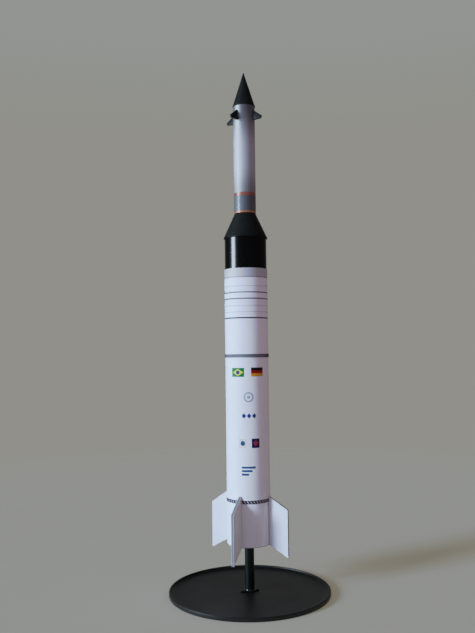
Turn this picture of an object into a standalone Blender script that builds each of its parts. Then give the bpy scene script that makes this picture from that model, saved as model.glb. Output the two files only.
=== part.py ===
"""A card display model of a two-stage sounding rocket, standing on a rod in a round dish.

It is built as a hobbyist rolls and glues such a model: tube sections that plug into each
other on couplers, a rolled adapter cone and nose cone, four thick card fins, four wedge
canards, and a black rod that carries the rocket above a shallow black dish.

Metres, +Z up. The origin is the centre of the dish's underside, and the tail fins point
along X and Y. Every joint is glued, so nothing moves.
"""

import math

import bmesh
import bpy

MM = 0.001

# Clearances between pieces that are glued to each other
BUTT_GAP = 0.05 * MM
PLUG_GAP = 0.10 * MM

# The dish that the model stands in
DISH_RADIUS = 38.0 * MM
DISH_HEIGHT = 2.0 * MM
DISH_FLOOR = 0.7 * MM
DISH_LIP = 0.9 * MM
DISH_FILLET_REACH = 3.4 * MM
DISH_EDGE_ROUND = 0.3 * MM

# The rod, and the small cross strip under it
ROD_RADIUS = 2.2 * MM
ROD_TOP = 36.0 * MM
FOOT_LENGTH = 8.8 * MM
FOOT_WIDTH = 1.8 * MM
FOOT_THICKNESS = 0.6 * MM
FOOT_TURN = math.radians(40.0)

# Levels where one section of the rocket ends and the next one starts
TAIL_LEVEL = 23.4 * MM
LOWER_RING_LEVEL = 43.42 * MM
UPPER_RING_LEVEL = 110.98 * MM
RING_HEIGHT = 1.44 * MM
FRONT_TUBE_TOP = 153.0 * MM
ADAPTER_LEVEL = 167.85 * MM
COLLAR_LEVEL = 180.1 * MM
SLEEVE_LEVEL = 181.0 * MM
BAND_LEVEL = 188.35 * MM
PAYLOAD_LEVEL = 190.0 * MM
NOSE_LEVEL = 232.45 * MM
NOSE_TIP = 249.5 * MM

# Radii and walls of the rolled card
BODY_RADIUS = 10.4 * MM
INTERSTAGE_RADIUS = 10.15 * MM
ADAPTER_LIP_RADIUS = 10.5 * MM
ADAPTER_LIP_HEIGHT = 1.1 * MM
ADAPTER_TOP_RADIUS = 5.15 * MM
PAYLOAD_RADIUS = 5.35 * MM
CORE_RADIUS = 4.6 * MM
NOSE_LIP_RADIUS = 5.5 * MM
NOSE_LIP_HEIGHT = 0.4 * MM
NOSE_TIP_RADIUS = 0.3 * MM
WALL = 0.6 * MM
PLUG_DEPTH = 3.0 * MM
CORE_DEPTH = 4.0 * MM

# The disc that closes the tail, set back inside the tube
TAIL_DISC_SET_BACK = 0.8 * MM
TAIL_DISC_THICKNESS = 0.8 * MM

# Tail fins: swept plates cut by hand, so no two are quite alike. The one on the -X side is
# narrower, and was glued on a little higher than the others.
FIN_THICKNESS = 1.3 * MM
# Node, azimuth, outer radius, then the levels of root top, root bottom, tip top, tip bottom
FINS = (
    ("fin_front", -90.0, 19.65 * MM, 46.8 * MM, 23.4 * MM, 40.2 * MM, 17.3 * MM),
    ("fin_right", 0.0, 19.65 * MM, 45.7 * MM, 23.25 * MM, 40.0 * MM, 18.1 * MM),
    ("fin_rear", 90.0, 19.65 * MM, 46.0 * MM, 23.4 * MM, 39.8 * MM, 17.9 * MM),
    ("fin_left", 180.0, 18.95 * MM, 47.4 * MM, 24.6 * MM, 41.5 * MM, 19.9 * MM),
)

# Canards: small wedges near the nose
CANARD_ROOT_TOP = 230.25 * MM
CANARD_ROOT_BOTTOM = 225.3 * MM
CANARD_TIP_TOP = 226.5 * MM
CANARD_TIP_TOP_RADIUS = 10.45 * MM
CANARD_TIP_BOTTOM = 225.35 * MM
CANARD_TIP_BOTTOM_RADIUS = 9.8 * MM
CANARD_LEADING_EDGE = 0.16 * MM
CANARD_ROOT_THICKNESS = 1.4 * MM
CANARD_TIP_THICKNESS = 0.85 * MM
# Node, azimuth. They were glued on by eye, most of them turned a little from the tail fins.
CANARDS = (
    ("canard_front", -106.5),
    ("canard_right", -12.0),
    ("canard_rear", 88.0),
    ("canard_left", 168.0),
)

# Facets of the round pieces
TUBE_SEGMENTS = 48
DISH_SEGMENTS = 72
ROD_SEGMENTS = 24
FILLET_STEPS = 5
SMOOTH_ANGLE = math.radians(30.0)
MERGE_DISTANCE = 0.001 * MM

# Finishes: colour, roughness, metallic
FINISHES = {
    "white_card": ((0.78, 0.79, 0.82), 0.45, 0.0),
    "fin_card": ((0.80, 0.81, 0.83), 0.60, 0.0),
    "grey_print": ((0.12, 0.12, 0.14), 0.50, 0.0),
    "gloss_black_card": ((0.012, 0.012, 0.014), 0.12, 0.0),
    "matt_black_card": ((0.028, 0.029, 0.032), 0.55, 0.0),
    "silver_card": ((0.42, 0.43, 0.46), 0.30, 0.6),
    "red_orange_card": ((0.55, 0.14, 0.06), 0.45, 0.0),
    "black_rod": ((0.010, 0.011, 0.012), 0.22, 0.0),
    "black_dish": ((0.030, 0.029, 0.027), 0.42, 0.0),
}


def clear_scene():
    for old in list(bpy.data.objects):
        bpy.data.objects.remove(old, do_unlink=True)


def finish(node, slot):
    """A material of the piece's own, made from one of the finishes."""
    colour, roughness, metallic = FINISHES[slot]
    material = bpy.data.materials.new(f"{node}_{slot}")
    material.use_nodes = True
    shader = material.node_tree.nodes["Principled BSDF"]
    shader.inputs["Base Color"].default_value = (*colour, 1.0)
    shader.inputs["Roughness"].default_value = roughness
    shader.inputs["Metallic"].default_value = metallic
    return material


def add_object(node, mesh_data, slot, turn=0.0):
    """Puts a closed bmesh in the scene as the named piece, turned about the Z axis."""
    bmesh.ops.recalc_face_normals(mesh_data, faces=mesh_data.faces)
    mesh = bpy.data.meshes.new(node)
    mesh_data.to_mesh(mesh)
    mesh_data.free()
    mesh.shade_smooth()
    mesh.set_sharp_from_angle(angle=SMOOTH_ANGLE)
    mesh.materials.append(finish(node, slot))
    piece = bpy.data.objects.new(node, mesh)
    piece.rotation_euler.z = turn
    bpy.context.scene.collection.objects.link(piece)
    return piece


def add_turned(node, profile, slot, segments=TUBE_SEGMENTS):
    """Spins a profile of (radius, level) points about the Z axis.

    A profile that starts and ends on the axis gives a solid piece, and any other is closed
    into a loop, which gives a hollow one.
    """
    turned = bmesh.new()
    points = [turned.verts.new((radius, 0.0, level)) for radius, level in profile]
    edges = [turned.edges.new(pair) for pair in zip(points, points[1:])]
    if profile[0][0] > 0.0:
        edges.append(turned.edges.new((points[-1], points[0])))
    bmesh.ops.spin(
        turned,
        geom=points + edges,
        cent=(0.0, 0.0, 0.0),
        axis=(0.0, 0.0, 1.0),
        angle=math.tau,
        steps=segments,
        use_merge=True,
    )
    bmesh.ops.remove_doubles(turned, verts=turned.verts, dist=MERGE_DISTANCE)
    return add_object(node, turned, slot)


def add_tube(node, radius, bore, low, high, slot):
    """A plain open tube between two levels."""
    return add_turned(node, [(bore, low), (radius, low), (radius, high), (bore, high)], slot)


def add_plate(node, bottom_outline, top_outline, slot, turn):
    """A solid between two outlines with the same number of points."""
    plate = bmesh.new()
    low = [plate.verts.new(point) for point in bottom_outline]
    high = [plate.verts.new(point) for point in top_outline]
    plate.faces.new(low)
    plate.faces.new(high)
    count = len(low)
    for i in range(count):
        j = (i + 1) % count
        plate.faces.new((low[i], low[j], high[j], high[i]))
    return add_object(node, plate, slot, turn)


def add_dish():
    """A shallow dish with a flat floor, a hollow fillet round it and a narrow raised lip."""
    edge = DISH_EDGE_ROUND
    lip_inside = DISH_RADIUS - DISH_LIP
    fillet_height = DISH_HEIGHT - edge - DISH_FLOOR
    profile = [
        (0.0, 0.0),
        (DISH_RADIUS - edge, 0.0),
        (DISH_RADIUS, edge),
        (DISH_RADIUS, DISH_HEIGHT - edge),
        (DISH_RADIUS - edge, DISH_HEIGHT),
        (lip_inside + edge, DISH_HEIGHT),
    ]
    for step in range(FILLET_STEPS + 1):
        angle = math.pi / 2 * step / FILLET_STEPS
        radius = lip_inside - DISH_FILLET_REACH * (1.0 - math.cos(angle))
        level = DISH_FLOOR + fillet_height * (1.0 - math.sin(angle))
        profile.append((radius, level))
    profile.append((0.0, DISH_FLOOR))
    add_turned("base_dish", profile, "black_dish", DISH_SEGMENTS)


def add_rod_and_foot():
    """The cross strip on the dish's floor, and the rod that stands on it."""
    strip_low = DISH_FLOOR + BUTT_GAP
    strip_high = strip_low + FOOT_THICKNESS
    x, y = FOOT_LENGTH / 2, FOOT_WIDTH / 2
    corners = [(-x, -y), (x, -y), (x, y), (-x, y)]
    low = [(*corner, strip_low) for corner in corners]
    high = [(*corner, strip_high) for corner in corners]
    add_plate("rod_foot", low, high, "black_rod", FOOT_TURN)
    rod_low = strip_high + BUTT_GAP
    profile = [(0.0, rod_low), (ROD_RADIUS, rod_low), (ROD_RADIUS, ROD_TOP), (0.0, ROD_TOP)]
    add_turned("stand_rod", profile, "black_rod", ROD_SEGMENTS)


def add_tail_disc():
    """The disc glued inside the tail, with a hole for the rod."""
    low = TAIL_LEVEL + TAIL_DISC_SET_BACK
    high = low + TAIL_DISC_THICKNESS
    outside = BODY_RADIUS - WALL - PLUG_GAP
    hole = ROD_RADIUS + PLUG_GAP
    profile = [(hole, low), (outside, low), (outside, high), (hole, high)]
    add_turned("tail_disc", profile, "white_card")


def add_joint_ring(node, bottom):
    """A coupler: a dark band flush with the body, plugged into the tubes below and above."""
    low, high = bottom + BUTT_GAP, bottom + RING_HEIGHT
    plug = BODY_RADIUS - WALL - PLUG_GAP
    bore = plug - WALL
    profile = [
        (bore, low - PLUG_DEPTH),
        (plug, low - PLUG_DEPTH),
        (plug, low),
        (BODY_RADIUS, low),
        (BODY_RADIUS, high),
        (plug, high),
        (plug, high + PLUG_DEPTH),
        (bore, high + PLUG_DEPTH),
    ]
    add_turned(node, profile, "grey_print")


def add_body_tubes():
    """The white tail, motor and front tubes, with the two couplers between them."""
    bore = BODY_RADIUS - WALL
    above_ring = RING_HEIGHT + BUTT_GAP
    sections = (
        ("tail_tube", TAIL_LEVEL, LOWER_RING_LEVEL),
        ("motor_tube", LOWER_RING_LEVEL + above_ring, UPPER_RING_LEVEL),
        ("front_tube", UPPER_RING_LEVEL + above_ring, FRONT_TUBE_TOP),
    )
    for node, low, high in sections:
        add_tube(node, BODY_RADIUS, bore, low, high, "white_card")
    add_joint_ring("lower_joint_ring", LOWER_RING_LEVEL)
    add_joint_ring("upper_joint_ring", UPPER_RING_LEVEL)


def add_interstage():
    """The gloss black tube, plugged into the white tube below it."""
    low, high = FRONT_TUBE_TOP + BUTT_GAP, ADAPTER_LEVEL
    plug = BODY_RADIUS - WALL - PLUG_GAP
    bore = plug - WALL
    profile = [
        (bore, low - PLUG_DEPTH),
        (plug, low - PLUG_DEPTH),
        (plug, low),
        (INTERSTAGE_RADIUS, low),
        (INTERSTAGE_RADIUS, high),
        (INTERSTAGE_RADIUS - WALL, high),
        (INTERSTAGE_RADIUS - WALL, low + WALL),
        (bore, low + WALL),
    ]
    add_turned("interstage_tube", profile, "gloss_black_card")


def add_adapter_cone():
    """The rolled cone between the wide body and the slim payload, with a lip at its base."""
    low, high = ADAPTER_LEVEL + BUTT_GAP, COLLAR_LEVEL
    plug = INTERSTAGE_RADIUS - WALL - PLUG_GAP
    bore = CORE_RADIUS + PLUG_GAP
    lip_top = low + ADAPTER_LIP_HEIGHT
    profile = [
        (plug - WALL, low - PLUG_DEPTH),
        (plug, low - PLUG_DEPTH),
        (plug, low),
        (ADAPTER_LIP_RADIUS, low),
        (ADAPTER_LIP_RADIUS, lip_top),
        (ADAPTER_TOP_RADIUS, high),
        (bore, high),
        (bore, high - WALL),
        (plug - WALL, lip_top),
    ]
    add_turned("adapter_cone", profile, "matt_black_card")


def add_payload():
    """The payload tube, whose slim core carries the collar, the sleeve and the band."""
    bore = CORE_RADIUS + PLUG_GAP
    rings = (
        ("collar_ring", COLLAR_LEVEL, SLEEVE_LEVEL, "red_orange_card"),
        ("payload_sleeve", SLEEVE_LEVEL, BAND_LEVEL, "silver_card"),
        ("payload_band", BAND_LEVEL, PAYLOAD_LEVEL, "red_orange_card"),
    )
    for node, bottom, top, slot in rings:
        add_tube(node, PAYLOAD_RADIUS, bore, bottom + BUTT_GAP, top, slot)
    low, high = PAYLOAD_LEVEL + BUTT_GAP, NOSE_LEVEL
    profile = [
        (CORE_RADIUS - WALL, COLLAR_LEVEL - CORE_DEPTH),
        (CORE_RADIUS, COLLAR_LEVEL - CORE_DEPTH),
        (CORE_RADIUS, low),
        (PAYLOAD_RADIUS, low),
        (PAYLOAD_RADIUS, high),
        (PAYLOAD_RADIUS - WALL, high),
        (PAYLOAD_RADIUS - WALL, low + WALL),
        (CORE_RADIUS - WALL, low + WALL),
    ]
    add_turned("payload_tube", profile, "white_card")


def add_nose_cone():
    """A straight cone with a lip that stands just proud of the payload tube."""
    low = NOSE_LEVEL + BUTT_GAP
    plug = PAYLOAD_RADIUS - WALL - PLUG_GAP
    profile = [
        (0.0, low - PLUG_DEPTH),
        (plug, low - PLUG_DEPTH),
        (plug, low),
        (NOSE_LIP_RADIUS, low),
        (NOSE_LIP_RADIUS, low + NOSE_LIP_HEIGHT),
        (NOSE_TIP_RADIUS, NOSE_TIP - NOSE_TIP_RADIUS),
        (0.0, NOSE_TIP),
    ]
    add_turned("nose_cone", profile, "matt_black_card")


def add_fins():
    """Four swept card plates, glued by their root edges to the tail."""
    root = BODY_RADIUS + BUTT_GAP
    half = FIN_THICKNESS / 2
    for node, azimuth, outside, root_top, root_bottom, tip_top, tip_bottom in FINS:
        outline = ((root, root_bottom), (outside, tip_bottom), (outside, tip_top), (root, root_top))
        near = [(radius, -half, level) for radius, level in outline]
        far = [(radius, half, level) for radius, level in outline]
        add_plate(node, near, far, "fin_card", math.radians(azimuth))


def add_canards():
    """Four clipped wedges, thin at the leading edge and thick at the trailing edge."""
    root = PAYLOAD_RADIUS + BUTT_GAP
    corners = (
        (root, CANARD_ROOT_BOTTOM, CANARD_ROOT_THICKNESS),
        (CANARD_TIP_BOTTOM_RADIUS, CANARD_TIP_BOTTOM, CANARD_TIP_THICKNESS),
        (CANARD_TIP_TOP_RADIUS, CANARD_TIP_TOP, CANARD_LEADING_EDGE),
        (root, CANARD_ROOT_TOP, CANARD_LEADING_EDGE),
    )
    for node, azimuth in CANARDS:
        near = [(radius, -thickness / 2, level) for radius, level, thickness in corners]
        far = [(radius, thickness / 2, level) for radius, level, thickness in corners]
        add_plate(node, near, far, "matt_black_card", math.radians(azimuth))


def main():
    clear_scene()
    add_dish()
    add_rod_and_foot()
    add_tail_disc()
    add_body_tubes()
    add_interstage()
    add_adapter_cone()
    add_payload()
    add_nose_cone()
    add_fins()
    add_canards()


main()
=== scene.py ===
"""Finishes for a card display model of a sounding rocket, on its rod and its round dish.

Every tube is rolled from thin card with a lap seam at the back, as on the real model. The
fins are grey board between two white skins. Marks, lines and hatching are printed on the
flat sheet, so their places are lengths around the tube and levels up it.

Metres, +Z up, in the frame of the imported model. Names that end in _MM hold millimetres.
"""

import math

import bmesh
import bpy
from mathutils import Matrix, Vector


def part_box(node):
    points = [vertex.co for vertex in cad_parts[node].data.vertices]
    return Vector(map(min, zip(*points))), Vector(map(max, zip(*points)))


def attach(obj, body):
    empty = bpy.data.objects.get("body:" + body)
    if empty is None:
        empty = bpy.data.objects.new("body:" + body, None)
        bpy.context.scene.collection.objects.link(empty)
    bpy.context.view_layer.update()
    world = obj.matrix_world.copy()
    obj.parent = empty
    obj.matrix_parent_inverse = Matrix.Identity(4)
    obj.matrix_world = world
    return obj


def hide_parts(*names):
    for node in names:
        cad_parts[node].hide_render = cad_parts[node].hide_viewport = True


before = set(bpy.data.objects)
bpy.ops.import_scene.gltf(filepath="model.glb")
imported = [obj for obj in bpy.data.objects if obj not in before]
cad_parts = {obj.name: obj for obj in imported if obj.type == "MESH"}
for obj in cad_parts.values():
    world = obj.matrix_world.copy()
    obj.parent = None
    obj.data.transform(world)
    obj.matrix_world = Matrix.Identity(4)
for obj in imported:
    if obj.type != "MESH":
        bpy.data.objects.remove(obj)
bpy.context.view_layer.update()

MM = 0.001
BODY = "root"

# The camera, solved from the photograph: where it stands, and how it is turned
PHOTO_LONG_SIDE_PX = 633.0
FOCAL_PX = 725.46
SENSOR_MM = 36.0
CAMERA_PLACE = Vector((133.82, -321.63, 113.74)) * MM
CAMERA_HEADING = 23.3
CAMERA_PITCH = 2.765
CAMERA_ROLL = -0.69

# Light: directions are degrees to the left of the camera's heading, and above the floor
KEY_HEADING = 59.0
KEY_HEIGHT = 15.7
KEY_SPREAD = 14.0
KEY_STRENGTH = 4.75
KEY_COLOUR = (0.515, 0.73, 1.0)
SKY_HEADING = 20.0
SKY_HEIGHT = 25.0
SKY_SPREAD = 70.0
SKY_STRENGTH = 0.32
SKY_COLOUR = (0.30, 0.45, 1.0)
PANE_HEADING = 72.0
PANE_HEIGHT = 11.0
PANE_DISTANCE = 1.2
PANE_SIZE = (0.42, 0.62)
PANE_POWER = 19.0
PANE_COLOUR = (0.68, 0.83, 1.0)

# The room: its light on matt surfaces, level with the model and overhead, what gloss
# reflects of it, and the plain wall that the camera sees
ROOM_LEVEL_COLOUR = (0.36, 0.21, 0.36, 1.0)
ROOM_OVERHEAD_COLOUR = (0.22, 0.23, 0.08, 1.0)
ROOM_REFLECTION = 0.03
WALL_REFLECTION = 0.19
WALL_NARROW = (0.75, 0.95)
BACKDROP_COLOUR = (0.283, 0.279, 0.254, 1.0)
BACKDROP_TOP_COLOUR = (0.286, 0.300, 0.287, 1.0)
BACKDROP_TURN = (0.26, 0.44)

# How film holds back bright tones: pairs of light and tone, up to the brightest light kept
FILM_WHITE = 1.6
FILM_TONES = ((0.45, 0.45), (0.58, 0.515), (0.75, 0.595), (1.06, 0.725), (1.6, 0.88))

FLOOR_RADIUS = 2.5
FLOOR_FADE_START = 0.26
FLOOR_FADE_END = 0.70
FLOOR_COLOUR = (0.345, 0.325, 0.31)
FLOOR_FILL = (0.112, 0.110, 0.080, 1.0)

# Rolled card
CARD = 0.2 * MM
CARD_PITCH = 1.04
BODY_TURNS = 3.0
THIN_TURNS = 2.0
CONE_TURNS = 1.04
STEPS_PER_TURN = 144
SEAM_HEADING = 118.0
SHARP_ANGLE = math.radians(35.0)

# Cones: the discs that carry them, and how far the card stops short of a tip or a collar
ADAPTER_RIM_HEIGHT = 0.7 * MM
NOSE_RIM_HEIGHT = 0.4 * MM
RIM_GAP = 0.05 * MM
RIM_EASE = 0.12 * MM
RIM_SHEEN = 0.1
CONE_TOP_IN = 0.2 * MM
TIP_RADIUS = 0.36 * MM
TIP_DROP = 0.75 * MM

# Laminated board of the fins
SKIN = 0.10 * MM
CORE_SET_BACK = 0.04 * MM
FIN_GREY = 0.12
SKIN_ROUND = 0.04 * MM
CORNER_ROUND = 0.18 * MM
CORNER_STEPS = 4
CANARD_EASE = 0.05 * MM

# Joint rings
RING_TURNS = 2.0
HATCH_COUNT = 44
HATCH_SLANT = -1.2 * MM
HATCH_STROKE = 1.00 * MM
HATCH_RELIEF = 0.04 * MM
RING_LINE = 0.24 * MM
RING_LINE_RELIEF = 0.02 * MM

# The stand
DISH_EDGE = 0.3 * MM
DISH_LIP = 0.9 * MM
DISH_FILLET_REACH = 3.4 * MM
DISH_FILLET_STEPS = 10
FOOT_GAP = 0.05 * MM
FOOT_EASE = 0.12 * MM
ROD_EASE = 0.2 * MM
GLUE_REACH = 0.45 * MM
GLUE_HEIGHT = 0.8 * MM

# Printed lines round the front tube: level in millimetres, width, how dark
FRONT_LINES_MM = (
    (148.74, 0.42, 0.60),
    (144.52, 0.34, 0.34),
    (141.56, 0.56, 0.84),
    (138.59, 0.56, 0.84),
    (135.24, 0.34, 0.34),
    (132.30, 0.34, 0.34),
    (129.50, 0.58, 1.00),
)
# Above its first line the front tube is pearl grey
FRONT_PEARL_MM = 148.74

# The payload tube grows darker towards the nose and towards the band: levels where each darkening starts and
# ends
NOSE_SHADE_MM = (211.0, 233.0)
BAND_SHADE_MM = (189.0, 203.0)

# Inks
PAPER = (0.79, 0.79, 0.80, 1.0)
PAPER_SHADE = (0.765, 0.765, 0.775, 1.0)
# The payload tube's pearl grey: partly the card's own grey, partly painted shade for the weaker room light high
# on the model
PALE_PEARL = (0.545, 0.54, 0.55, 1.0)
DEEP_PEARL = (0.32, 0.32, 0.33, 1.0)
BAND_PEARL = (0.56, 0.55, 0.55, 1.0)
BAND_METAL = 0.34
COLLAR_THIN = (0.46, 0.16, 0.055, 1.0)
COLLAR_FULL = (0.36, 0.10, 0.03, 1.0)
BAND_THIN = (0.33, 0.082, 0.036, 1.0)
BAND_FULL = (0.25, 0.056, 0.024, 1.0)
INKS = {
    "grey": (0.37, 0.38, 0.41, 1.0),
    "black": (0.004, 0.003, 0.004, 1.0),
    "line": (0.022, 0.020, 0.026, 1.0),
    "green": (0.006, 0.16, 0.04, 1.0),
    "yellow": (0.66, 0.62, 0.08, 1.0),
    "blue": (0.018, 0.045, 0.20, 1.0),
    "navy": (0.006, 0.006, 0.06, 1.0),
    "red": (0.30, 0.003, 0.003, 1.0),
    "gold": (0.66, 0.30, 0.014, 1.0),
    "crimson": (0.36, 0.03, 0.07, 1.0),
    "teal": (0.02, 0.085, 0.19, 1.0),
    "pale": (0.68, 0.66, 0.58, 1.0),
}

# Plain marks on the motor tube: shape, length round the tube from the front, level, width,
# height, ink
MOTOR_MARKS_MM = (
    ("box", -0.5, 104.0, 6.3, 4.1, "green"),
    ("lozenge", -0.5, 104.0, 5.4, 3.4, "yellow"),
    ("disc", -0.5, 104.0, 1.9, 1.9, "blue"),
    ("box", 9.1, 105.5, 6.3, 1.4, "black"),
    ("box", 9.1, 104.15, 6.3, 1.4, "red"),
    ("box", 9.1, 102.8, 6.3, 1.4, "gold"),
    ("ring", 4.6, 92.5, 4.8, 4.8, "grey"),
    ("disc", 4.6, 92.5, 1.6, 1.6, "grey"),
    ("lozenge", 2.3, 83.85, 2.1, 2.5, "blue"),
    ("lozenge", 4.75, 83.85, 2.1, 2.5, "blue"),
    ("lozenge", 7.2, 83.85, 2.1, 2.5, "blue"),
    ("box", 1.6, 71.2, 3.6, 4.1, "pale"),
    ("disc", 1.6, 71.2, 2.2, 2.2, "teal"),
    ("box", 7.8, 71.2, 3.8, 4.3, "navy"),
    ("lozenge", 7.8, 71.2, 2.6, 3.0, "crimson"),
    ("box", 4.3, 60.1, 6.6, 0.9, "teal"),
    ("box", 3.5, 58.5, 5.0, 0.9, "teal"),
    ("box", 2.7, 56.9, 3.4, 0.9, "teal"),
)
PAYLOAD_MARKS_MM = (("box", -4.11, 210.8, 0.7, 2.4, "grey"),)


def heading_vector(heading, height=0.0):
    """The direction, from the model, of something left of the camera and above the floor."""
    turn = math.radians(CAMERA_HEADING - heading)
    rise = math.radians(height)
    return Vector(
        (
            math.sin(turn) * math.cos(rise),
            -math.cos(turn) * math.cos(rise),
            math.sin(rise),
        )
    )


def levels_of(node):
    low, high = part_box(node)
    return low.z, high.z


def radius_of(node):
    low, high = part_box(node)
    return (high.x - low.x) / 2


class Wire:
    """An output of a node. Python arithmetic on it adds Math nodes."""

    def __init__(self, graph, socket):
        self.graph = graph
        self.socket = socket

    def other(self, name):
        return Wire(self.graph, self.socket.node.outputs[name])

    def __add__(self, value):
        return self.graph.maths("ADD", self, value)

    def __radd__(self, value):
        return self.graph.maths("ADD", value, self)

    def __sub__(self, value):
        return self.graph.maths("SUBTRACT", self, value)

    def __rsub__(self, value):
        return self.graph.maths("SUBTRACT", value, self)

    def __mul__(self, value):
        return self.graph.maths("MULTIPLY", self, value)

    def __rmul__(self, value):
        return self.graph.maths("MULTIPLY", value, self)

    def __truediv__(self, value):
        return self.graph.maths("DIVIDE", self, value)

    def __neg__(self):
        return self.graph.maths("MULTIPLY", self, -1.0)

    def __abs__(self):
        return self.graph.maths("ABSOLUTE", self)


class Graph:
    """A node tree that is being built: a material, the room, or Geometry Nodes."""

    def __init__(self, tree):
        self.tree = tree

    def node(self, kind, settings=None, sockets=None, output=0):
        """Adds a node, sets it up, feeds its sockets, and gives one of its outputs."""
        made = self.tree.nodes.new(kind)
        for name, value in (settings or {}).items():
            setattr(made, name, value)
        for key, value in (sockets or {}).items():
            self.feed(made.inputs[key], value)
        return Wire(self, made.outputs[output]) if len(made.outputs) else made

    def feed(self, socket, value):
        if isinstance(value, Wire):
            self.tree.links.new(value.socket, socket)
        else:
            socket.default_value = value

    def maths(self, operation, *values):
        settings = {"operation": operation}
        return self.node("ShaderNodeMath", settings, dict(enumerate(values)))

    def vector_maths(self, operation, first, second=None, output=0):
        sockets = {0: first} if second is None else {0: first, 1: second}
        return self.node("ShaderNodeVectorMath", {"operation": operation}, sockets, output)

    def split(self, vector):
        """The X, Y and Z of a vector."""
        x = self.node("ShaderNodeSeparateXYZ", sockets={0: vector})
        return x, x.other("Y"), x.other("Z")

    def edge(self, value, start, end):
        """0 before start and 1 after end, with a smooth step between."""
        sockets = {"Value": value, "From Min": start, "From Max": end}
        return self.node("ShaderNodeMapRange", {"interpolation_type": "SMOOTHSTEP"}, sockets)

    def blend(self, factor, first, second):
        """One colour where the factor is 0, and the other where it is 1."""
        sockets = {0: factor, 6: first, 7: second}
        return self.node("ShaderNodeMix", {"data_type": "RGBA"}, sockets, output=2)


class Finish(Graph):
    """A material. Its patterns are read from the place on the piece, in millimetres."""

    def __init__(self, name, **constants):
        self.material = bpy.data.materials.new(name)
        self.material.use_nodes = True
        super().__init__(self.material.node_tree)
        self.shader = self.tree.nodes["Principled BSDF"]
        for socket, value in constants.items():
            self.set(socket, value)
        place = self.node("ShaderNodeTexCoord", output="Object")
        self.place = self.vector_maths("MULTIPLY", place, (1.0 / MM, 1.0 / MM, 1.0 / MM))
        self.x, self.y, self.level = self.split(self.place)

    def set(self, socket, value):
        self.feed(self.shader.inputs[socket.replace("_", " ")], value)

    def around(self, radius):
        """The length round a tube from its front, in millimetres, positive towards +X."""
        return self.maths("ARCTAN2", self.x, -self.y) * (radius / MM)

    def noise(self, size, detail=2.0, roughness=0.5, stretch=None):
        """Noise from 0 to 1 whose features are about size millimetres across."""
        sockets = {
            "Vector": self.vector_maths("MULTIPLY", self.place, stretch) if stretch else self.place,
            "Scale": 1.0 / size,
            "Detail": detail,
            "Roughness": roughness,
        }
        return self.node("ShaderNodeTexNoise", sockets=sockets)

    def line(self, value, centre, width, blur=0.05):
        """1 within a line of that width, and 0 beside it."""
        half = width / 2
        return 1.0 - self.edge(abs(value - centre), half - blur, half + blur)

    def bump(self, height, depth):
        """Relief of the given depth, in metres."""
        sockets = {"Height": height, "Distance": depth}
        self.set("Normal", self.node("ShaderNodeBump", sockets=sockets))


def paper_surface(finish, fibre=0.012, roughness=0.58):
    """The colour of bare printing card. It also sets the fibres and the sheen."""
    mottle = finish.edge(finish.noise(9.0, 3.0), 0.35, 0.7)
    fibres = finish.noise(0.35, 4.0, 0.65)
    finish.set("Roughness", roughness + 0.10 * (finish.noise(2.5, 2.0) - 0.5))
    finish.bump(fibres, fibre * MM)
    return finish.blend(mottle, PAPER, PAPER_SHADE)


def rough_edge(finish, amount=0.05):
    """A small wander of printed edges, as ink has on card."""
    return amount * (finish.noise(0.3, 2.0) - 0.5)


def mark_mask(finish, shape, around, up, width, height):
    """1 inside a shape that is centred where around and up are 0."""
    x, z = abs(around) / (width / 2), abs(up) / (height / 2)
    reach = {
        "box": lambda: finish.maths("MAXIMUM", x, z),
        "lozenge": lambda: x + z,
        "disc": lambda: finish.maths("POWER", x * x + z * z, 0.5),
        "ring": lambda: abs(finish.maths("POWER", x * x + z * z, 0.5) - 0.84) / 0.16,
    }[shape]()
    blur = 0.06 / width
    return 1.0 - finish.edge(reach, 1.0 - blur, 1.0 + blur)


def print_marks(finish, colour, radius, marks):
    """Marks printed on a tube of that radius, over the colour it has."""
    level = finish.level + rough_edge(finish)
    around = finish.around(radius) + rough_edge(finish)
    for shape, place, height, width, tall, ink_name in marks:
        mask = mark_mask(finish, shape, around - place, level - height, width, tall)
        colour = finish.blend(mask, colour, INKS[ink_name])
    return colour


def plain_card(name, grey=0.0):
    """White card with nothing printed on it, greyed a little by the given share."""
    finish = Finish(name, Specular_IOR_Level=0.25)
    finish.set("Base Color", finish.blend(grey, paper_surface(finish), INKS["grey"]))
    return finish.material


def tail_card():
    """White card with a thin grey line round its lower edge."""
    finish = Finish("tail_card", Specular_IOR_Level=0.25)
    level = levels_of("tail_tube")[0] / MM
    mask = 0.55 * finish.line(finish.level + rough_edge(finish), level, 0.44)
    finish.set("Base Color", finish.blend(mask, paper_surface(finish), INKS["line"]))
    return finish.material


def motor_card():
    """White card with the coloured marks."""
    finish = Finish("motor_card", Specular_IOR_Level=0.25)
    radius = radius_of("motor_tube")
    colour = print_marks(finish, paper_surface(finish), radius, MOTOR_MARKS_MM)
    finish.set("Base Color", colour)
    return finish.material


def front_card():
    """White card with grey lines round it, and pearl grey above the first of them."""
    finish = Finish("front_card", Specular_IOR_Level=0.25)
    level = finish.level + rough_edge(finish)
    pearl = finish.edge(level, FRONT_PEARL_MM, FRONT_PEARL_MM + 0.05)
    colour = finish.blend(pearl, paper_surface(finish), BAND_PEARL)
    for centre, width, dark in FRONT_LINES_MM:
        mask = dark * finish.line(level, centre, width)
        colour = finish.blend(mask, colour, INKS["line"])
    finish.set("Base Color", colour)
    finish.set("Metallic", BAND_METAL * pearl)
    finish.set("Roughness", 0.58 + 0.10 * pearl)
    return finish.material


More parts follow.
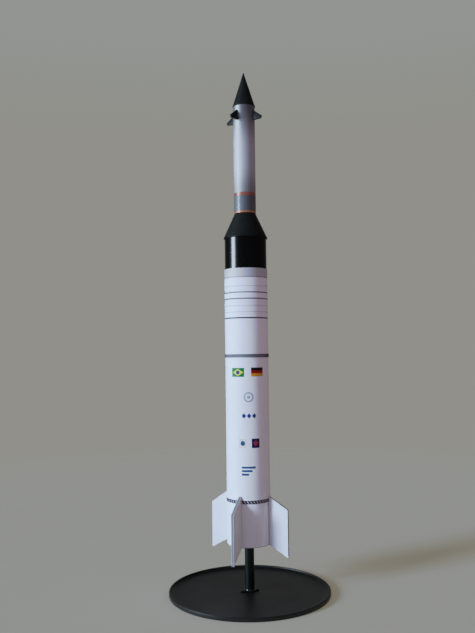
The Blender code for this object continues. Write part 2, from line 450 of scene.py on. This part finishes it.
def payload_card():
    """Pearl grey card, partly its own grey and partly painted shade for the weaker room light high on the model;
    it darkens towards the nose and the band.
    """
    finish = Finish("payload_card", Coat_Weight=0.15, Coat_Roughness=0.25)
    fibres = finish.noise(0.35, 4.0, 0.65)
    finish.bump(fibres, 0.008 * MM)
    nose_shade = finish.edge(finish.level, *NOSE_SHADE_MM)
    band_shade = 0.65 * (1.0 - finish.edge(finish.level, *BAND_SHADE_MM))
    shade = nose_shade + band_shade
    colour = finish.blend(shade, PALE_PEARL, DEEP_PEARL)
    colour = print_marks(finish, colour, radius_of("payload_tube"), PAYLOAD_MARKS_MM)
    finish.set("Base Color", colour)
    finish.set("Metallic", 0.45 + 0.40 * shade)
    finish.set("Roughness", 0.68 - 0.18 * nose_shade + 0.08 * (fibres - 0.5))
    return finish.material


def board_edge():
    """The cut edge of grey board, with its pressed layers."""
    finish = Finish("board_edge", Roughness=0.85, Specular_IOR_Level=0.2)
    layers = finish.noise(0.25, 3.0, 0.6, stretch=(1.0, 1.0, 0.25))
    colour = finish.blend(layers, (0.17, 0.165, 0.16, 1.0), (0.30, 0.295, 0.285, 1.0))
    finish.set("Base Color", colour)
    finish.bump(layers, 0.03 * MM)
    return finish.material


def ring_ink():
    """The dark ink of the rings."""
    finish = Finish("ring_ink", Specular_IOR_Level=0.12)
    coverage = finish.edge(finish.noise(0.25, 3.0, 0.6), 0.2, 0.8)
    colour = finish.blend(coverage, (0.050, 0.042, 0.062, 1.0), (0.022, 0.018, 0.028, 1.0))
    finish.set("Base Color", colour)
    finish.set("Roughness", 0.55 + 0.12 * coverage)
    return finish.material


def gloss_print():
    """The glossy black card of the tube between the stages."""
    finish = Finish("gloss_print", Specular_IOR_Level=0.5)
    waves = finish.noise(6.0, 2.0, 0.5, stretch=(1.0, 1.0, 0.45))
    scuffs = finish.edge(finish.noise(0.6, 5.0, 0.7, stretch=(1.0, 1.0, 0.2)), 0.5, 0.8)
    colour = finish.blend(scuffs, (0.0012, 0.0018, 0.0014, 1.0), (0.004, 0.0048, 0.0042, 1.0))
    finish.set("Base Color", colour)
    finish.set("Roughness", 0.19 + 0.06 * scuffs)
    finish.bump(waves, 0.05 * MM)
    return finish.material


def matt_print(name, sheen=0.42):
    """Matt black card."""
    finish = Finish(name, Specular_IOR_Level=sheen)
    fibres = finish.noise(0.3, 4.0, 0.65)
    mottle = finish.noise(4.0, 3.0)
    colour = finish.blend(mottle, (0.0035, 0.0050, 0.0040, 1.0), (0.0075, 0.0095, 0.0080, 1.0))
    finish.set("Base Color", colour)
    finish.set("Roughness", 0.50 + 0.12 * (mottle - 0.5))
    finish.bump(fibres, 0.012 * MM)
    return finish.material


def silver_print():
    """Silver card with a clear gloss."""
    finish = Finish("silver_print", Metallic=0.70, Coat_Weight=0.4, Coat_Roughness=0.2)
    streaks = finish.noise(0.8, 3.0, 0.6, stretch=(1.0, 1.0, 0.15))
    colour = finish.blend(streaks, (0.165, 0.175, 0.188, 1.0), (0.22, 0.232, 0.248, 1.0))
    finish.set("Base Color", colour)
    finish.set("Roughness", 0.66 + 0.08 * streaks)
    finish.bump(finish.noise(0.4, 3.0), 0.006 * MM)
    return finish.material


def orange_print(name, thin, full):
    """Red-orange ink, from where it is thin to where it is full."""
    finish = Finish(name, Specular_IOR_Level=1.0, Coat_Weight=0.5, Coat_Roughness=0.22)
    coverage = finish.noise(0.4, 3.0, 0.6)
    finish.set("Base Color", finish.blend(coverage, full, thin))
    finish.set("Roughness", 0.46 + 0.10 * coverage)
    finish.bump(coverage, 0.006 * MM)
    return finish.material


def rod_paint():
    """Black paint, with faint runs down the rod."""
    finish = Finish("rod_paint", Specular_IOR_Level=0.22)
    runs = finish.noise(1.6, 3.0, 0.5, stretch=(1.0, 1.0, 0.3))
    colour = finish.blend(runs, (0.0008, 0.0022, 0.0016, 1.0), (0.002, 0.0042, 0.0034, 1.0))
    finish.set("Base Color", colour)
    finish.set("Roughness", 0.34 + 0.14 * runs)
    finish.bump(runs, 0.03 * MM)
    return finish.material


def dish_plastic():
    """Black moulded plastic with a fine grain, a little dust and a few scuffs."""
    finish = Finish("dish_plastic", Specular_IOR_Level=0.48)
    grain = finish.noise(0.45, 3.0, 0.6)
    dust = finish.edge(finish.noise(0.5, 6.0, 0.75), 0.60, 0.80)
    cloud = finish.noise(14.0, 3.0)
    colour = finish.blend(cloud, (0.0036, 0.0044, 0.0036, 1.0), (0.0060, 0.0066, 0.0054, 1.0))
    colour = finish.blend(0.18 * dust, colour, (0.06, 0.058, 0.052, 1.0))
    finish.set("Base Color", colour)
    finish.set("Roughness", 0.40 + 0.14 * cloud + 0.10 * dust)
    finish.bump(grain, 0.02 * MM)
    return finish.material


def clear_glue():
    """The bead of clear glue round the rod's foot."""
    finish = Finish("clear_glue", Roughness=0.18)
    streaks = finish.noise(0.8)
    colour = finish.blend(streaks, (0.004, 0.004, 0.004, 1.0), (0.02, 0.02, 0.02, 1.0))
    finish.set("Base Color", colour)
    return finish.material


def geometry_tree(name, sizes):
    """An empty Geometry Nodes tree with named inputs, and a wire from each of them."""
    tree = bpy.data.node_groups.new(name, "GeometryNodeTree")
    kinds = {"Count": "NodeSocketInt", "Material": "NodeSocketMaterial"}
    tree.interface.new_socket("Geometry", in_out="OUTPUT", socket_type="NodeSocketGeometry")
    for size in sizes:
        kind = kinds.get(size, "NodeSocketFloat")
        tree.interface.new_socket(size, in_out="INPUT", socket_type=kind)
    graph = Graph(tree)
    inputs = graph.node("NodeGroupInput")
    return graph, {size: inputs.other(size) for size in sizes}


def end_tree(graph, geometry, material):
    """Realizes the geometry, gives it its material and makes it the tree's result."""
    real = graph.node("GeometryNodeRealizeInstances", sockets={0: geometry})
    finished = graph.node("GeometryNodeSetMaterial", sockets={0: real, "Material": material})
    graph.node("NodeGroupOutput", sockets={0: finished})
    return graph.tree


def rolled_card_tree():
    """A strip of card wound round the Z axis, each turn lying on the one before it."""
    sizes = ("Radius", "Top Radius", "Low", "High", "Card", "Turns", "Seam", "Count", "Material")
    graph, size = geometry_tree("Rolled card", sizes)
    box = {"Size": (1.0, 1.0, 1.0), "Vertices X": size["Count"], "Vertices Y": 2, "Vertices Z": 2}
    strip = graph.node("GeometryNodeMeshCube", sockets=box)
    along, across, up = graph.split(graph.node("GeometryNodeInputPosition"))
    turns_left = size["Turns"] * (0.5 - along)
    outside = size["Radius"] + (up + 0.5) * (size["Top Radius"] - size["Radius"])
    radius = outside - size["Card"] * (turns_left * CARD_PITCH + 0.5 - across)
    angle = size["Seam"] + turns_left * math.tau
    level = size["Low"] + (up + 0.5) * (size["High"] - size["Low"])
    place = {
        "X": radius * graph.maths("COSINE", angle),
        "Y": radius * graph.maths("SINE", angle),
        "Z": level,
    }
    wound = graph.node("ShaderNodeCombineXYZ", sockets=place)
    rolled = graph.node("GeometryNodeSetPosition", sockets={0: strip, "Position": wound})
    return end_tree(graph, rolled, size["Material"])


def hatch_tree():
    """Slanted strokes of ink, spaced evenly along a strip that is then wrapped into a ring."""
    sizes = ("Radius", "Low", "High", "Count", "Slant", "Stroke", "Relief", "Material")
    graph, size = geometry_tree("Printed hatch", sizes)
    height = size["High"] - size["Low"]
    pitch = math.tau * size["Radius"] / size["Count"]
    step = graph.node("ShaderNodeCombineXYZ", sockets={"X": pitch})
    row = graph.node("GeometryNodeMeshLine", sockets={"Count": size["Count"], "Offset": step})
    shape = {"X": size["Stroke"], "Y": size["Relief"], "Z": height}
    box = {"Size": graph.node("ShaderNodeCombineXYZ", sockets=shape)}
    box.update({"Vertices X": 2, "Vertices Y": 2, "Vertices Z": 4})
    stroke = graph.node("GeometryNodeMeshCube", sockets=box)
    strokes = graph.node("GeometryNodeInstanceOnPoints", sockets={"Points": row, "Instance": stroke})
    flat = graph.node("GeometryNodeRealizeInstances", sockets={0: strokes})
    along, across, up = graph.split(graph.node("GeometryNodeInputPosition"))
    angle = (along + size["Slant"] * up / height) / size["Radius"]
    radius = size["Radius"] + across
    place = {
        "X": radius * graph.maths("SINE", angle),
        "Y": -(radius * graph.maths("COSINE", angle)),
        "Z": size["Low"] + height / 2.0 + up,
    }
    wrapped = graph.node("ShaderNodeCombineXYZ", sockets=place)
    ring = graph.node("GeometryNodeSetPosition", sockets={0: flat, "Position": wrapped})
    return end_tree(graph, ring, size["Material"])


def grown(name, tree, sizes):
    """A plain mesh piece made by a Geometry Nodes tree with the given sizes."""
    holder = bpy.data.objects.new(name + "_holder", bpy.data.meshes.new(name + "_holder"))
    bpy.context.scene.collection.objects.link(holder)
    modifier = holder.modifiers.new("Shape", "NODES")
    modifier.node_group = tree
    for item in tree.interface.items_tree:
        if item.in_out == "INPUT":
            modifier[item.identifier] = sizes[item.name]
    evaluated = holder.evaluated_get(bpy.context.evaluated_depsgraph_get())
    mesh = bpy.data.meshes.new_from_object(evaluated)
    holder.modifiers.remove(modifier)
    bpy.data.objects.remove(holder, do_unlink=True)
    shape = bmesh.new()
    shape.from_mesh(mesh)
    for face in shape.faces:
        face.material_index = 0
    bpy.data.meshes.remove(mesh)
    return make_piece(name, shape, [sizes["Material"]])


def make_piece(name, shape, materials):
    """Closes a bmesh into a smooth shaded piece in its place on the model."""
    bmesh.ops.remove_doubles(shape, verts=shape.verts, dist=0.0005 * MM)
    bmesh.ops.recalc_face_normals(shape, faces=shape.faces)
    mesh = bpy.data.meshes.new(name)
    shape.to_mesh(mesh)
    shape.free()
    for material in materials:
        mesh.materials.append(material)
    mesh.shade_smooth()
    mesh.set_sharp_from_angle(angle=SHARP_ANGLE)
    piece = bpy.data.objects.new(name, mesh)
    bpy.context.scene.collection.objects.link(piece)
    return piece


def settle(piece, slot, *nodes):
    """The piece moves with the model and stands for CAD nodes; the slot is not used."""
    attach(piece, BODY)
    if nodes:
        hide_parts(*nodes)


def turned(name, profile, material, steps=160):
    """Spins (radius, level) points about the Z axis into one closed piece."""
    shape = bmesh.new()
    points = [shape.verts.new((radius, 0.0, level)) for radius, level in profile]
    edges = [shape.edges.new(pair) for pair in zip(points, points[1:])]
    if profile[0][0] > 0.0:
        edges.append(shape.edges.new((points[-1], points[0])))
    bmesh.ops.spin(
        shape,
        geom=points + edges,
        cent=(0.0, 0.0, 0.0),
        axis=(0.0, 0.0, 1.0),
        angle=math.tau,
        steps=steps,
        use_merge=True,
    )
    return make_piece(name, shape, [material])


def arc(centre, radius, start, end, steps):
    """Points of a round stretch of a profile, angles in degrees from the +radius side."""
    points = []
    for step in range(steps + 1):
        angle = math.radians(start + (end - start) * step / steps)
        place = (centre[0] + radius * math.cos(angle), centre[1] + radius * math.sin(angle))
        points.append(place)
    return points


def hollow_curve(start, end, steps):
    """A hollow quarter curve of a profile that falls steeply from start and ends level."""
    points = []
    for step in range(steps + 1):
        angle = math.pi / 2 * step / steps
        radius = start[0] + (end[0] - start[0]) * (1.0 - math.cos(angle))
        level = end[1] + (start[1] - end[1]) * (1.0 - math.sin(angle))
        points.append((radius, level))
    return points


def node_shape(node):
    """A merged copy of a CAD node's mesh, with its flat faces joined."""
    shape = bmesh.new()
    shape.from_mesh(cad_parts[node].data)
    bmesh.ops.remove_doubles(shape, verts=shape.verts, dist=0.001 * MM)
    flat = math.radians(1.0)
    bmesh.ops.dissolve_limit(shape, angle_limit=flat, verts=shape.verts, edges=shape.edges)
    return shape


def softened(name, node, width, material):
    """A CAD node's own shape with its edges eased."""
    shape = node_shape(node)
    ease = {"offset": width, "segments": 2, "affect": "EDGES", "profile": 0.5}
    bmesh.ops.bevel(shape, geom=shape.edges, **ease)
    return make_piece(name, shape, [material])


def rounded_outline(corners, radius, steps):
    """A flat outline whose corners are replaced by short curves."""
    points = []
    count = len(corners)
    for i, corner in enumerate(corners):
        before = (corners[i - 1] - corner).normalized() * radius
        after = (corners[(i + 1) % count] - corner).normalized() * radius
        for step in range(steps + 1):
            t = step / steps
            points.append(corner + before * (1 - t) ** 2 + after * t**2)
    return points


def inset_outline(points, normal, distance):
    """The outline moved inwards by a distance, at every point."""
    moved = []
    count = len(points)
    for i, point in enumerate(points):
        ahead = (points[(i + 1) % count] - points[i - 1]).normalized()
        moved.append(point + normal.cross(ahead) * distance)
    return moved


def fin(node, faces, edge):
    """A board fin: grey core set back a little between two white skins."""
    shape = node_shape(node)
    side = max(shape.faces, key=lambda face: face.calc_area())
    normal = side.normal.copy()
    corners = [vertex.co.copy() for vertex in side.verts]
    shape.free()
    low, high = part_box(node)
    thickness = min(high.x - low.x, high.y - low.y)
    outline = rounded_outline(corners, CORNER_ROUND, CORNER_STEPS)
    layers = (
        (0.0, SKIN_ROUND),
        (SKIN_ROUND, 0.0),
        (SKIN, 0.0),
        (SKIN, CORE_SET_BACK),
        (thickness - SKIN, CORE_SET_BACK),
        (thickness - SKIN, 0.0),
        (thickness - SKIN_ROUND, 0.0),
        (thickness, SKIN_ROUND),
    )
    core_band = 3
    made = bmesh.new()
    loops = []
    for depth, inset in layers:
        points = inset_outline(outline, normal, inset)
        loops.append([made.verts.new(point - normal * depth) for point in points])
    made.faces.new(loops[0])
    made.faces.new(loops[-1])
    count = len(outline)
    for band, (near, far) in enumerate(zip(loops, loops[1:])):
        for i in range(count):
            j = (i + 1) % count
            face = made.faces.new((near[i], near[j], far[j], far[i]))
            face.material_index = 1 if band == core_band else 0
    return make_piece(node + "_board", made, [faces, edge])


def rolled(name, tree, radius, top_radius, low, high, turns, material):
    """A tube or a cone rolled from one strip of card."""
    sizes = {
        "Radius": radius,
        "Top Radius": top_radius,
        "Low": low,
        "High": high,
        "Card": CARD,
        "Turns": turns,
        "Seam": math.radians(SEAM_HEADING),
        "Count": round(STEPS_PER_TURN * turns) + 1,
        "Material": material,
    }
    return grown(name, tree, sizes)


def add_tubes(tree):
    """The tubes, the rings and the bands between them, all rolled from card."""
    ground = plain_card("ring_card")
    collar_ink = orange_print("collar_print", COLLAR_THIN, COLLAR_FULL)
    band_ink = orange_print("band_print", BAND_THIN, BAND_FULL)
    body, slim = radius_of("motor_tube"), radius_of("payload_sleeve")
    waist = radius_of("interstage_tube")
    tail_low, tail_high = levels_of("tail_tube")
    motor_low, motor_high = levels_of("motor_tube")
    front_low, front_high = levels_of("front_tube")
    waist_high = levels_of("interstage_tube")[1]
    band_high = levels_of("payload_band")[1]
    payload_high = levels_of("payload_tube")[1]
    collar, sleeve, band = (levels_of(n) for n in ("collar_ring", "payload_sleeve", "payload_band"))
    # Piece, node, slot, radius, levels, turns, material
    rows = (
        ("tail_tube_card", "tail_tube", "white_card", body, (tail_low, tail_high), BODY_TURNS, tail_card()),
        ("lower_ring_card", "lower_joint_ring", "grey_print", body, (tail_high, motor_low), RING_TURNS, ground),
        ("motor_tube_card", "motor_tube", "white_card", body, (motor_low, motor_high), BODY_TURNS, motor_card()),
        ("upper_ring_card", "upper_joint_ring", "grey_print", body, (motor_high, front_low), RING_TURNS, ground),
        ("front_tube_card", "front_tube", "white_card", body, (front_low, front_high), BODY_TURNS, front_card()),
        ("interstage_card", "interstage_tube", "gloss_black_card", waist, (front_high, waist_high), BODY_TURNS, gloss_print()),
        ("collar_card", "collar_ring", "red_orange_card", slim, collar, THIN_TURNS, collar_ink),
        ("sleeve_card", "payload_sleeve", "silver_card", slim, sleeve, THIN_TURNS, silver_print()),
        ("band_card", "payload_band", "red_orange_card", slim, band, THIN_TURNS, band_ink),
        ("payload_tube_card", "payload_tube", "white_card", slim, (band_high, payload_high), THIN_TURNS, payload_card()),
    )
    for name, node, slot, radius, (low, high), turns, material in rows:
        settle(rolled(name, tree, radius, radius, low, high, turns, material), slot, node)


def add_adapter_cone(tree, black):
    """The rolled cone on its disc, whose rim shows below it."""
    low = levels_of("interstage_tube")[1]
    high = levels_of("adapter_cone")[1]
    rim = radius_of("adapter_cone")
    rim_high = low + ADAPTER_RIM_HEIGHT
    top = radius_of("payload_sleeve") - CONE_TOP_IN
    cone = rolled("adapter_cone_card", tree, rim, top, rim_high, high, CONE_TURNS, black)
    settle(cone, "matt_black_card", "adapter_cone")
    profile = [
        (0.0, low),
        (rim - RIM_EASE, low),
        (rim, low + RIM_EASE),
        (rim, rim_high - RIM_GAP),
        (rim - RIM_EASE, rim_high),
        (0.0, rim_high),
    ]
    settle(turned("adapter_rim", profile, matt_print("rim_print", RIM_SHEEN)), "matt_black_card")


def add_nose_cone(tree, black):
    """The rolled nose on its thin disc, closed by a small bead at the tip."""
    low = levels_of("payload_tube")[1] + RIM_GAP
    tip = levels_of("nose_cone")[1]
    lip = radius_of("nose_cone")
    rim_high = low + NOSE_RIM_HEIGHT
    cone = rolled("nose_cone_card", tree, lip, TIP_RADIUS, rim_high, tip - TIP_RADIUS, CONE_TURNS, black)
    settle(cone, "matt_black_card", "nose_cone")
    profile = [(0.0, low), (lip - RIM_EASE, low), (lip, low + RIM_EASE), (lip, rim_high), (0.0, rim_high)]
    settle(turned("nose_rim", profile, black), "matt_black_card")
    bead = arc((0.0, tip - TIP_RADIUS), TIP_RADIUS, 15.0, 90.0, 6)[:-1]
    profile = [(0.0, tip - TIP_DROP), (TIP_RADIUS, tip - TIP_DROP), *bead, (0.0, tip)]
    settle(turned("nose_tip_bead", profile, black, 48), "matt_black_card")


def add_ring_print():
    """Printed strokes and border lines on the two joint rings."""
    tree = hatch_tree()
    dark = ring_ink()
    body = radius_of("motor_tube")
    rings = (
        ("lower_ring", levels_of("tail_tube")[1], levels_of("motor_tube")[0]),
        ("upper_ring", levels_of("motor_tube")[1], levels_of("front_tube")[0]),
    )
    for ring, low, high in rings:
        sizes = {
            "Radius": body,
            "Low": low,
            "High": high,
            "Count": HATCH_COUNT,
            "Slant": HATCH_SLANT,
            "Stroke": HATCH_STROKE,
            "Relief": HATCH_RELIEF,
            "Material": dark,
        }
        settle(grown(ring + "_hatch", tree, sizes), "grey_print")
        inside, outside = body - CARD / 2, body + RING_LINE_RELIEF
        for edge, start in (("lower", low), ("upper", high - RING_LINE)):
            end = start + RING_LINE
            profile = [(inside, start), (outside, start), (outside, end), (inside, end)]
            settle(turned(f"{ring}_{edge}_line", profile, dark), "grey_print")


def add_fins_and_canards():
    faces, edge = plain_card("fin_card", FIN_GREY), board_edge()
    black = matt_print("canard_print")
    for side in ("front", "right", "rear", "left"):
        node = "fin_" + side
        settle(fin(node, faces, edge), "fin_card", node)
        node = "canard_" + side
        settle(softened(node + "_wedge", node, CANARD_EASE, black), "matt_black_card", node)


def add_tail_disc():
    """The card disc that closes the tail round the rod."""
    node = "tail_disc"
    low, high = levels_of(node)
    hole, rim = radius_of("stand_rod") + RIM_GAP, radius_of(node)
    profile = [(hole, low), (rim, low), (rim, high), (hole, high)]
    settle(turned("tail_disc_card", profile, plain_card("disc_card")), "white_card", node)


def add_dish():
    """The shallow dish: a flat floor, a hollow fillet and a narrow lip with eased edges."""
    radius = radius_of("base_dish")
    high = levels_of("base_dish")[1]
    floor = levels_of("rod_foot")[0] - FOOT_GAP
    edge = DISH_EDGE
    inside = radius - DISH_LIP
    profile = [
        (0.0, 0.0),
        *arc((radius - edge, edge), edge, -90.0, 0.0, 4),
        *arc((radius - edge, high - edge), edge, 0.0, 90.0, 4),
        *arc((inside + edge, high - edge), edge, 90.0, 180.0, 4),
        *hollow_curve((inside, high - edge), (inside - DISH_FILLET_REACH, floor), DISH_FILLET_STEPS)[1:],
        (0.0, floor),
    ]
    settle(turned("dish_moulding", profile, dish_plastic(), 240), "black_dish", "base_dish")


def add_rod():
    """The rod, the strip under it and the bead of glue round its foot."""
    paint = rod_paint()
    settle(softened("foot_strip", "rod_foot", FOOT_EASE, paint), "black_rod", "rod_foot")
    rod = radius_of("stand_rod")
    low, top = levels_of("stand_rod")
    profile = [(0.0, low), (rod, low), (rod, top - ROD_EASE), (rod - ROD_EASE, top), (0.0, top)]
    settle(turned("rod_dowel", profile, paint, 96), "black_rod", "stand_rod")
    inside, outside = rod - RIM_GAP, rod + GLUE_REACH
    curve = hollow_curve((rod, low + GLUE_HEIGHT), (outside, low), 6)
    profile = [(inside, low), *reversed(curve), (inside, low + GLUE_HEIGHT)]
    settle(turned("rod_glue_bead", profile, clear_glue(), 96), "black_rod")


def add_floor():
    """A plain pale floor that fades into the backdrop."""
    mesh = bpy.data.meshes.new("floor")
    shape = bmesh.new()
    bmesh.ops.create_circle(shape, cap_ends=True, segments=96, radius=FLOOR_RADIUS)
    shape.to_mesh(mesh)
    shape.free()
    floor = bpy.data.objects.new("floor", mesh)
    bpy.context.scene.collection.objects.link(floor)
    finish = Finish("floor_paper", Roughness=0.95, Specular_IOR_Level=0.0)
    low, high = ((*[share * c for c in FLOOR_COLOUR], 1.0) for share in (0.985, 1.015))
    finish.set("Base Color", finish.blend(finish.noise(3.0, 4.0, 0.6), low, high))
    finish.set("Emission Color", FLOOR_FILL)
    finish.set("Emission Strength", 1.0)
    away = finish.vector_maths("LENGTH", finish.place, output="Value")
    finish.set("Alpha", 1.0 - finish.edge(away, FLOOR_FADE_START / MM, FLOOR_FADE_END / MM))
    mesh.materials.append(finish.material)


def add_camera():
    data = bpy.data.cameras.new("camera")
    data.sensor_fit = "AUTO"
    data.sensor_width = SENSOR_MM
    data.lens = FOCAL_PX / PHOTO_LONG_SIDE_PX * SENSOR_MM
    data.clip_start = 0.01
    camera = bpy.data.objects.new("camera", data)
    bpy.context.scene.collection.objects.link(camera)
    turn = Matrix.Rotation(math.radians(CAMERA_HEADING), 4, "Z")
    tilt = Matrix.Rotation(math.radians(90.0 + CAMERA_PITCH), 4, "X")
    roll = Matrix.Rotation(math.radians(CAMERA_ROLL), 4, "Z")
    camera.matrix_world = Matrix.Translation(CAMERA_PLACE) @ turn @ tilt @ roll
    bpy.context.scene.camera = camera


def add_lamp(name, kind, direction, distance=1.0, **settings):
    """A lamp that shines at the model from a direction."""
    data = bpy.data.lights.new(name, kind)
    for setting, value in settings.items():
        setattr(data, setting, value)
    lamp = bpy.data.objects.new(name, data)
    lamp.location = direction * distance
    lamp.rotation_mode = "QUATERNION"
    lamp.rotation_quaternion = direction.to_track_quat("Z", "Y")
    bpy.context.scene.collection.objects.link(lamp)
    return lamp


def add_lights():
    """Soft daylight from a window on the left, and that window's pane as gloss shows it."""
    width, height = PANE_SIZE
    spread = math.radians(KEY_SPREAD)
    direction = heading_vector(KEY_HEADING, KEY_HEIGHT)
    key = add_lamp("key", "SUN", direction, energy=KEY_STRENGTH, angle=spread, color=KEY_COLOUR)
    key.visible_glossy = False
    spread = math.radians(SKY_SPREAD)
    direction = heading_vector(SKY_HEADING, SKY_HEIGHT)
    sky = add_lamp("sky", "SUN", direction, energy=SKY_STRENGTH, angle=spread, color=SKY_COLOUR)
    sky.visible_glossy = False
    direction = heading_vector(PANE_HEADING, PANE_HEIGHT)
    pane = {"shape": "RECTANGLE", "size": width, "size_y": height}
    pane.update({"energy": PANE_POWER, "color": PANE_COLOUR})
    window = add_lamp("pane", "AREA", direction, PANE_DISTANCE, **pane)
    window.visible_diffuse = False


def add_room():
    """The room's light on matt surfaces, its reflection in gloss, and the wall in view."""
    world = bpy.data.worlds.new("room")
    world.use_nodes = True
    bpy.context.scene.world = world
    graph = Graph(world.node_tree)
    graph.tree.nodes.clear()
    direction = graph.node("ShaderNodeTexCoord", output="Generated")
    up = graph.vector_maths("DOT_PRODUCT", direction, (0.0, 0.0, 1.0), output="Value")
    away = graph.vector_maths("DOT_PRODUCT", direction, heading_vector(180.0), output="Value")
    overhead = graph.maths("MAXIMUM", up, 0.0)
    light = graph.blend(overhead, ROOM_LEVEL_COLOUR, ROOM_OVERHEAD_COLOUR)
    lit = graph.node("ShaderNodeBackground", sockets={"Color": light})
    mirrored = ROOM_REFLECTION + WALL_REFLECTION * graph.edge(away, *WALL_NARROW)
    sockets = {"Color": (1.0, 1.0, 1.0, 1.0), "Strength": mirrored}
    reflection = graph.node("ShaderNodeBackground", sockets=sockets)
    height = graph.edge(up, *BACKDROP_TURN)
    backdrop = graph.blend(height, BACKDROP_COLOUR, BACKDROP_TOP_COLOUR)
    seen = graph.node("ShaderNodeBackground", sockets={"Color": backdrop})
    ray = graph.node("ShaderNodeLightPath", output="Is Camera Ray")
    glossy = ray.other("Is Glossy Ray")
    around = graph.node("ShaderNodeMixShader", sockets={0: glossy, 1: lit, 2: reflection})
    mixed = graph.node("ShaderNodeMixShader", sockets={0: ray, 1: around, 2: seen})
    graph.node("ShaderNodeOutputWorld", sockets={"Surface": mixed})


def set_film():
    """Plain colours, with bright tones held back as in the photograph."""
    view = bpy.context.scene.view_settings
    view.view_transform = "Standard"
    view.use_curve_mapping = True
    mapping = view.curve_mapping
    mapping.white_level = (FILM_WHITE, FILM_WHITE, FILM_WHITE)
    curve = mapping.curves[3]
    curve.points[0].location = (0.0, 0.0)
    curve.points[1].location = (1.0, FILM_TONES[-1][1])
    for light, tone in FILM_TONES[:-1]:
        curve.points.new(light / FILM_WHITE, tone)
    for point in list(curve.points)[:2]:
        point.handle_type = "VECTOR"
    mapping.update()


def main():
    set_film()
    add_camera()
    add_lights()
    add_room()
    add_floor()
    card = rolled_card_tree()
    add_tubes(card)
    black = matt_print("cone_print")
    add_adapter_cone(card, black)
    add_nose_cone(card, black)
    add_ring_print()
    add_fins_and_canards()
    add_tail_disc()
    add_dish()
    add_rod()


main()
